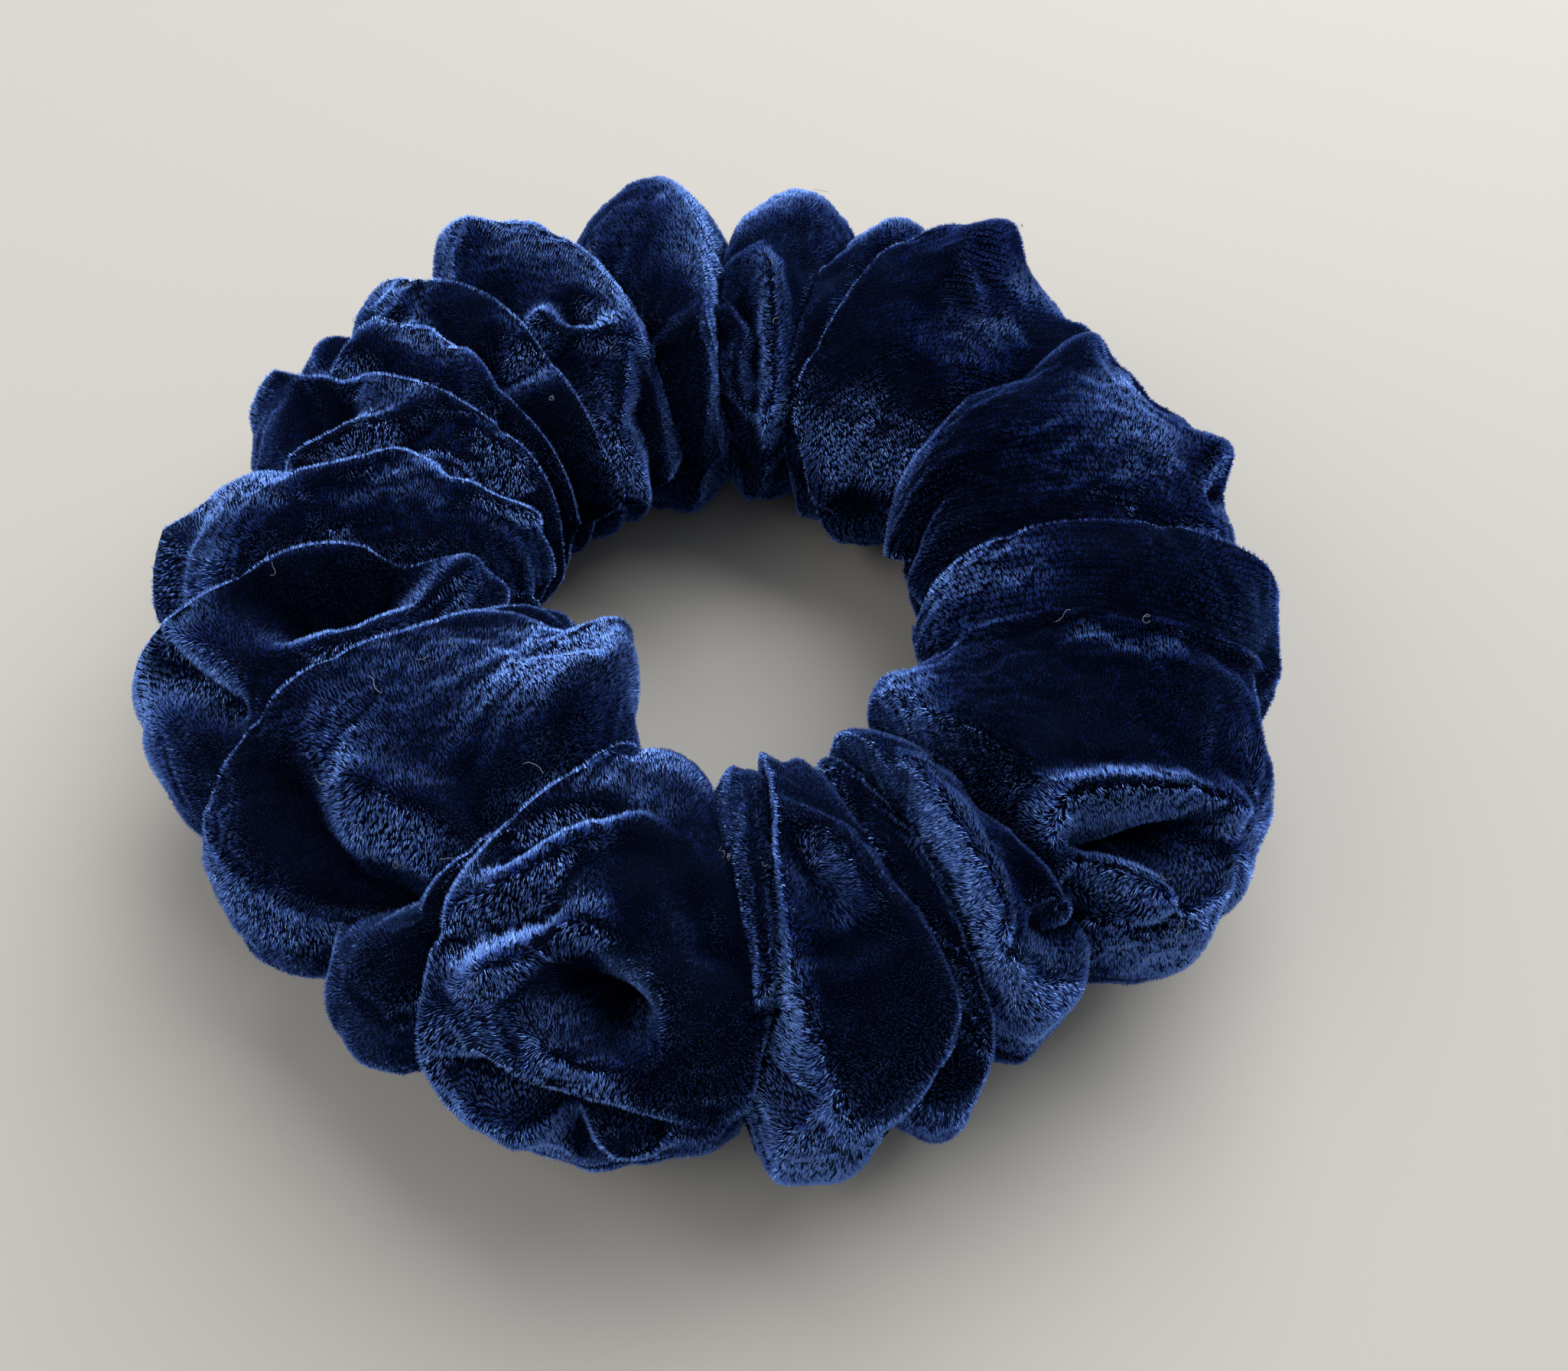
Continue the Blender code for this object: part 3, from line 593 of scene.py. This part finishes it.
def settle(cover, guide):
    """Lets the laid-out cloth settle: it has a little spare length, and lies on the table."""
    table = new_object("settling_table", square_mesh("settling_table", TABLE_HALF_SIZE))
    table.modifiers.new("collision", "COLLISION")
    table.collision.thickness_outer = 0.2 * MM
    cloth = cover.modifiers.new("settling", "CLOTH")
    for name, value in CLOTH_SETTINGS.items():
        setattr(cloth.settings, name, value)
    cloth.settings.vertex_group_mass = hold_cloth(cover, guide)
    cloth.collision_settings.distance_min = 0.3 * MM
    cloth.collision_settings.collision_quality = 3
    cloth.point_cache.frame_start = 1
    cloth.point_cache.frame_end = SETTLE_FRAMES
    scene = bpy.context.scene
    for number in range(1, SETTLE_FRAMES + 1):
        scene.frame_set(number)
    points = read_points(cover.evaluated_get(bpy.context.evaluated_depsgraph_get()).to_mesh())
    cover.modifiers.remove(cloth)
    bpy.data.objects.remove(table, do_unlink=True)
    scene.frame_set(1)
    start = guide.reshape(-1, 3)
    move = points - start
    far = np.linalg.norm(move, axis=1, keepdims=True)
    points = start + move * np.minimum(1.0, MOST_SETTLING / np.maximum(far, 1e-9))
    points[:, 2] = np.maximum(points[:, 2], 0.0)
    cover.data.vertices.foreach_set("co", points.astype(np.float32).ravel())
    cover.data.update()


def travelled(steps, axis):
    """How far along the cloth each point is, from the sizes of the steps that lead to it."""
    return np.concatenate([np.zeros_like(np.take(steps, [0], axis)), np.cumsum(steps, axis)], axis)


def pile_roots(points, brushed, count, rng):
    """Where the pile stands, evenly over the outer cloth.

    Gives each fibre's place, the cloth's normal and its directions along and across the strip, the way
    to the middle of its tuft in mm, and how far it is brushed over.
    """
    there = np.roll(points, -1, axis=0)
    along, across = there - points, np.empty_like(points)
    step = np.linalg.norm(along, axis=-1)
    across[:, 1:-1] = (points[:, 2:] - points[:, :-2]) / 2.0
    across[:, 0], across[:, -1] = points[:, 1] - points[:, 0], points[:, -1] - points[:, -2]
    along = (along + np.roll(along, 1, axis=0)) / 2.0
    normal = unit(np.cross(across, along))
    area = np.linalg.norm(np.cross(across, along), axis=-1)
    along_mm = travelled(step, 0)[:, :, None] / MM
    across_mm = travelled(np.linalg.norm(np.diff(points, axis=1), axis=-1), 1)[:, :, None] / MM
    hidden = len(TURNED_IN_MM) - 1
    shown = points[:, :, 2] > PILE_FROM_HEIGHT
    shown[:, :hidden] = shown[:, -hidden:] = False
    chance = (area * shown)[:, :-1].ravel()
    cell = rng.choice(len(chance), count, p=chance / chance.sum())
    column, row = np.divmod(cell, points.shape[1] - 1)
    u, v = rng.random((2, count, 1))
    following = (column + 1) % points.shape[0]

    def blend(values, after):
        first = values[column, row] * (1 - v) + values[column, row + 1] * v
        second = values[after, row] * (1 - v) + values[after, row + 1] * v
        return first * (1 - u) + second * u

    along, across, normal = (unit(blend(value, following)) for value in (along, across, normal))
    place = np.concatenate([blend(along_mm, column + 1), blend(across_mm, following)], axis=1)
    row_shift = (np.floor(place[:, :1] / TUFT_MM[0]) % 2) * 0.5
    tuft = place / TUFT_MM + np.concatenate([np.zeros_like(row_shift), row_shift], axis=1)
    off_mm = (np.floor(tuft) + 0.5 - tuft) * TUFT_MM
    off = off_mm * MM
    root = blend(points, following) + (along * off[:, :1] + across * off[:, 1:]) * TUFT_GATHER
    return root, normal, along, across, off / MM, blend(brushed[:, :, None], following)


def brush_stroke(root, normal):
    """The way the pile goes where it is brushed over, along the cloth's surface."""
    front = np.clip(FRONT_SHARE[0] * normal[:, 1:2] + FRONT_SHARE[1], 0.0, 1.0)
    stroke = BRUSHED_TOWARDS * (1.0 - front) + BRUSHED_DOWN * front
    stroke -= normal * (normal * stroke).sum(axis=1, keepdims=True)
    swirl = (value_noise(root, SWIRL_SIZE, SWIRL_SEED) - 0.5)[:, None] * SWIRL_TURN
    return stroke * np.cos(swirl) + np.cross(normal, stroke) * np.sin(swirl)


def pile(points, brushed):
    """The velvet's pile: short fibres that stand up, or lie over where they are brushed."""
    material, _ = new_material("pile", PILE_COLOUR, Metallic=1.0, Roughness=PILE_ROUGHNESS)
    for number in range(PILE_PIECES):
        rng = np.random.default_rng(PILE_SEED + number)
        root, normal, along, across, off, brush = pile_roots(points, brushed, PILE_A_PIECE, rng)
        patch = summed_noise(root, PATCHES)[:, None]
        crushed = CRUSH_STRENGTH * np.clip(patch - CRUSH_FROM, 0.0, 1.0)
        amount = BRUSH_LEAN * np.clip(brush * (BRUSH_EVEN + BRUSH_PATCHY * patch) + crushed, 0.0, BRUSH_MOST)
        outward = -(along * off[:, :1] + across * off[:, 1:]) * TUFT_SPREAD
        direction = unit(normal + along * PILE_LEAN_ALONG + brush_stroke(root, normal) * amount + outward
                         + rng.normal(0.0, PILE_UNEVENNESS, root.shape))
        showing = UPRIGHT_SHARE + (1.0 - UPRIGHT_SHARE) * np.minimum(amount[:, 0], 1.0)
        length = PILE_LENGTH * (PILE_LENGTHS[0] + PILE_LENGTHS[1] * rng.random(len(root))) * showing
        width = unit(np.cross(direction, rng.normal(0.0, 1.0, root.shape))) * PILE_WIDTH / 2.0
        base = root - normal * PILE_DEPTH
        tip = root + direction * length[:, None]
        corners = np.stack([base - width, base + width, tip], axis=1).reshape(-1, 3)
        corners[:, 2] = np.maximum(corners[:, 2], PILE_LEAST_HEIGHT)
        mesh = triangles_mesh(f"pile_{number + 1}", corners)
        mesh.materials.append(material)
        piece = new_object(f"pile_{number + 1}", mesh)
        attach(piece, "cover")


def link(tree, out_socket, in_socket):
    tree.links.new(out_socket, in_socket)


def node(tree, kind, **inputs):
    """A shader node with some of its inputs set, by the sockets' names."""
    item = tree.nodes.new(kind)
    for name, value in inputs.items():
        item.inputs[name.replace("_", " ")].default_value = value
    return item


def maths(tree, operation, *inputs):
    """The result of a Math node over sockets and numbers."""
    item = tree.nodes.new("ShaderNodeMath")
    item.operation = operation
    for socket, value in zip(item.inputs, inputs):
        if isinstance(value, float):
            socket.default_value = value
        else:
            link(tree, value, socket)
    return item.outputs[0]


def new_material(name, colour=None, **inputs):
    """A material and its Principled shader, with some of the shader's inputs set."""
    material = bpy.data.materials.new(name)
    material.use_nodes = True
    shader = material.node_tree.nodes["Principled BSDF"]
    if colour:
        shader.inputs["Base Color"].default_value = (*colour, 1.0)
    for socket, value in inputs.items():
        shader.inputs[socket.replace("_", " ")].default_value = value
    return material, shader


def between_colours(tree, share, first, second, shader):
    """Colours a shader between two colours, by a share from 0 to 1."""
    colour = node(tree, "ShaderNodeMix")
    colour.data_type = "RGBA"
    colour.inputs["A"].default_value = (*first, 1.0)
    colour.inputs["B"].default_value = (*second, 1.0)
    link(tree, share, colour.inputs["Factor"])
    link(tree, colour.outputs["Result"], shader.inputs["Base Color"])


def raised(tree, height, shader, strength, distance, normal=None):
    """Bumps a shader's surface by a height, round a normal of its own where one is given."""
    bump = node(tree, "ShaderNodeBump", Strength=strength, Distance=distance)
    link(tree, height, bump.inputs["Height"])
    if normal is not None:
        link(tree, normal, bump.inputs["Normal"])
    link(tree, bump.outputs["Normal"], shader.inputs["Normal"])


def noise(tree, **inputs):
    """Noise over the object's own coordinates."""
    item = node(tree, "ShaderNodeTexNoise", **inputs)
    link(tree, node(tree, "ShaderNodeTexCoord").outputs["Object"], item.inputs["Vector"])
    return item.outputs["Fac"]


def nap_directions(points):
    """The way the nap leans at every point of the cover: along the strip, swirled where crushed."""
    along = np.roll(points, -1, axis=0) - np.roll(points, 1, axis=0)
    across = np.empty_like(points)
    across[:, 1:-1] = points[:, 2:] - points[:, :-2]
    across[:, 0], across[:, -1] = across[:, 1], across[:, -2]
    normal = unit(np.cross(across, along)).reshape(-1, 3)
    nap = unit(unit(along) * NAP_ALONG + unit(across) * NAP_ACROSS).reshape(-1, 3)
    side = np.cross(normal, nap)
    place = points.reshape(-1, 3)
    swirl = (value_noise(place, NAP_SWIRL_SIZE, NAP_SWIRL_SEED) - 0.5) * NAP_SWIRL_TURN
    heading = nap * np.cos(swirl)[:, None] + side * np.sin(swirl)[:, None]
    crush = np.clip((summed_noise(place, NAP_CRUSHES) - NAP_CRUSHED_FROM) * 3.0, -0.6, 1.0)
    return unit(normal + heading * (NAP_LEAN + NAP_CRUSH * crush)[:, None])


def velvet_material():
    """The knitted ground that the pile stands in: nearly black, with the nap's lean in its normal."""
    material, shader = new_material(
        "velvet", Roughness=0.85, Specular_IOR_Level=0.0, Sheen_Weight=0.1, Sheen_Roughness=0.30,
        Sheen_Tint=(0.16, 0.36, 1.0, 1.0))
    tree = material.node_tree
    patches = noise(tree, Scale=260.0, Detail=3.0, Roughness=0.6)
    between_colours(tree, patches, GROUND_DARK, GROUND_LIGHT, shader)
    nap = node(tree, "ShaderNodeAttribute")
    nap.attribute_name = "nap"
    tufts = noise(tree, Scale=2600.0, Detail=2.0, Roughness=0.6)
    raised(tree, tufts, shader, 0.2, 0.2 * MM, nap.outputs["Vector"])
    return material


def velvet_cover():
    guide, brushed = cover_guide()
    cover = new_object("velvet_strip", strip_mesh("velvet_strip", guide))
    settle(cover, guide)
    cover.data.materials.append(velvet_material())
    settled = read_points(cover.data).reshape(guide.shape)
    nap = cover.data.attributes.new("nap", "FLOAT_VECTOR", "POINT")
    nap.data.foreach_set("vector", nap_directions(settled).astype(np.float32).ravel())
    pile(settled, brushed)
    lint(settled)
    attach(cover, "cover")
    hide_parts("velvet_cover")


def lint(points):
    """A few stray curly fibres that cling to the pile."""
    rng = np.random.default_rng(LINT_SEED)
    unbrushed = np.zeros(points.shape[:2])
    root, normal, along, across, _, _ = pile_roots(points, unbrushed, 4 * LINT_FIBRES, rng)
    corners, faces = [], []
    for index in np.flatnonzero(normal[:, 2] > LINT_LEAST_UP)[:LINT_FIBRES]:
        heading, turning = rng.uniform(0.0, 2.0 * math.pi), rng.normal(0.0, LINT_FIRST_CURL)
        place = root[index] + normal[index] * LINT_HEIGHT
        for number in range(rng.integers(*LINT_STEPS)):
            turning += rng.normal(0.0, LINT_CURL)
            heading += turning
            forward = along[index] * math.cos(heading) + across[index] * math.sin(heading)
            lift = normal[index] * rng.normal(*LINT_LIFT)
            place = place + unit(forward + lift) * LINT_STEP
            side = np.cross(forward, normal[index]) * LINT_WIDTH / 2.0
            thick = normal[index] * LINT_WIDTH / 2.0
            corners += [place - side, place + thick, place + side, place - thick]
            if number:
                last = len(corners) - 8
                faces += [(last + a, last + (a + 1) % 4, last + 4 + (a + 1) % 4, last + 4 + a)
                          for a in range(4)]
    mesh = bpy.data.meshes.new("lint")
    mesh.from_pydata([tuple(corner) for corner in corners], [], faces)
    material, _ = new_material("lint", LINT_COLOUR, Roughness=0.6)
    mesh.materials.append(material)
    piece = new_object("lint", mesh)
    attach(piece, "cover")


def yarn_material(name, groove_shade_colour, light, turns, rise, roughness):
    """Wound or braided yarn: crossed diagonal strands round the ring's axis, with painted shade darkening
    the grooves between them.
    """
    material, shader = new_material(name, Roughness=roughness, Specular_IOR_Level=0.3, Sheen_Weight=0.3)
    tree = material.node_tree
    apart = node(tree, "ShaderNodeSeparateXYZ")
    link(tree, node(tree, "ShaderNodeTexCoord").outputs["Object"], apart.inputs["Vector"])
    turn = maths(tree, "ARCTAN2", apart.outputs["Y"], apart.outputs["X"])
    strands = []
    for hand in (-1.0, 1.0):
        slope = maths(tree, "MULTIPLY", apart.outputs["Z"], hand * rise)
        strands.append(maths(tree, "SINE", maths(tree, "MULTIPLY_ADD", turn, turns, slope)))
    crossed = maths(tree, "MAXIMUM", *strands)
    share = node(tree, "ShaderNodeMapRange", From_Min=-1.0)
    link(tree, crossed, share.inputs["Value"])
    # painted shade: the colour goes dark where the strands are low, in the grooves between them
    between_colours(tree, share.outputs["Result"], groove_shade_colour, light, shader)
    raised(tree, crossed, shader, 0.6, 0.1 * MM)
    return material


def rubber_material():
    """Tan latex with a chalky bloom."""
    material, shader = new_material("latex")
    tree = material.node_tree
    bloom = noise(tree, Scale=900.0, Detail=4.0)
    between_colours(tree, bloom, LATEX_DARK, LATEX_LIGHT, shader)
    roughness = node(tree, "ShaderNodeMapRange", To_Min=0.45, To_Max=0.8)
    link(tree, bloom, roughness.inputs["Value"])
    link(tree, roughness.outputs["Result"], shader.inputs["Roughness"])
    return material


def finish_cad_pieces():
    """Yarn and latex for the CAD nodes that keep their own shapes."""
    navy = yarn_material("navy_yarn", *NAVY_YARN)
    materials = {
        "side_seam_thread": navy,
        "closing_seam_thread": navy,
        "elastic_join_thread": yarn_material("white_yarn", *WHITE_YARN),
        "elastic_braid": yarn_material("braid_yarn", *BRAID_YARN),
        "elastic_rubber_core": rubber_material(),
    }
    for name, material in materials.items():
        for material_slot in frame["nodes"][name].material_slots:
            material_slot.material = material


def camera():
    pitch, roll = math.radians(CAMERA_PITCH), math.radians(CAMERA_ROLL)
    forward = Vector((0.0, math.cos(pitch), -math.sin(pitch)))
    right = Vector((1.0, 0.0, 0.0))
    up = right.cross(forward)
    tilted_right = math.cos(roll) * right + math.sin(roll) * up
    tilted_up = math.cos(roll) * up - math.sin(roll) * right
    data = bpy.data.cameras.new("camera")
    data.sensor_width = SENSOR_WIDTH_MM
    data.lens = FOCAL_LENGTH_MM
    data.clip_start = NEAREST_SEEN
    item = new_object("camera", data)
    place = Matrix((tilted_right, tilted_up, -forward)).transposed().to_4x4()
    place.translation = Vector(AXIS_POINT) + CAMERA_FROM_AXIS
    item.matrix_world = place
    bpy.context.scene.camera = item


def light(name, place, power, size, colour):
    data = bpy.data.lights.new(name, "AREA")
    data.energy, data.size, data.color = power, size, colour
    item = new_object(name, data)
    item.location = place
    item.rotation_euler = (-Vector(place)).to_track_quat("-Z", "Y").to_euler()


def studio():
    floor = new_object("floor", square_mesh("floor", FLOOR_HALF_SIZE))
    pale, _ = new_material("floor", FLOOR_COLOUR, Roughness=0.8)
    floor.data.materials.append(pale)
    for name, values in LIGHTS.items():
        light(name, *values)
    world = bpy.data.worlds.new("world")
    world.use_nodes = True
    background = world.node_tree.nodes["Background"]
    background.inputs["Color"].default_value = (*SKY_COLOUR, 1.0)
    background.inputs["Strength"].default_value = SKY_STRENGTH
    bpy.context.scene.world = world
    bpy.context.scene.view_settings.view_transform = "Standard"


camera()
studio()
velvet_cover()
finish_cad_pieces()
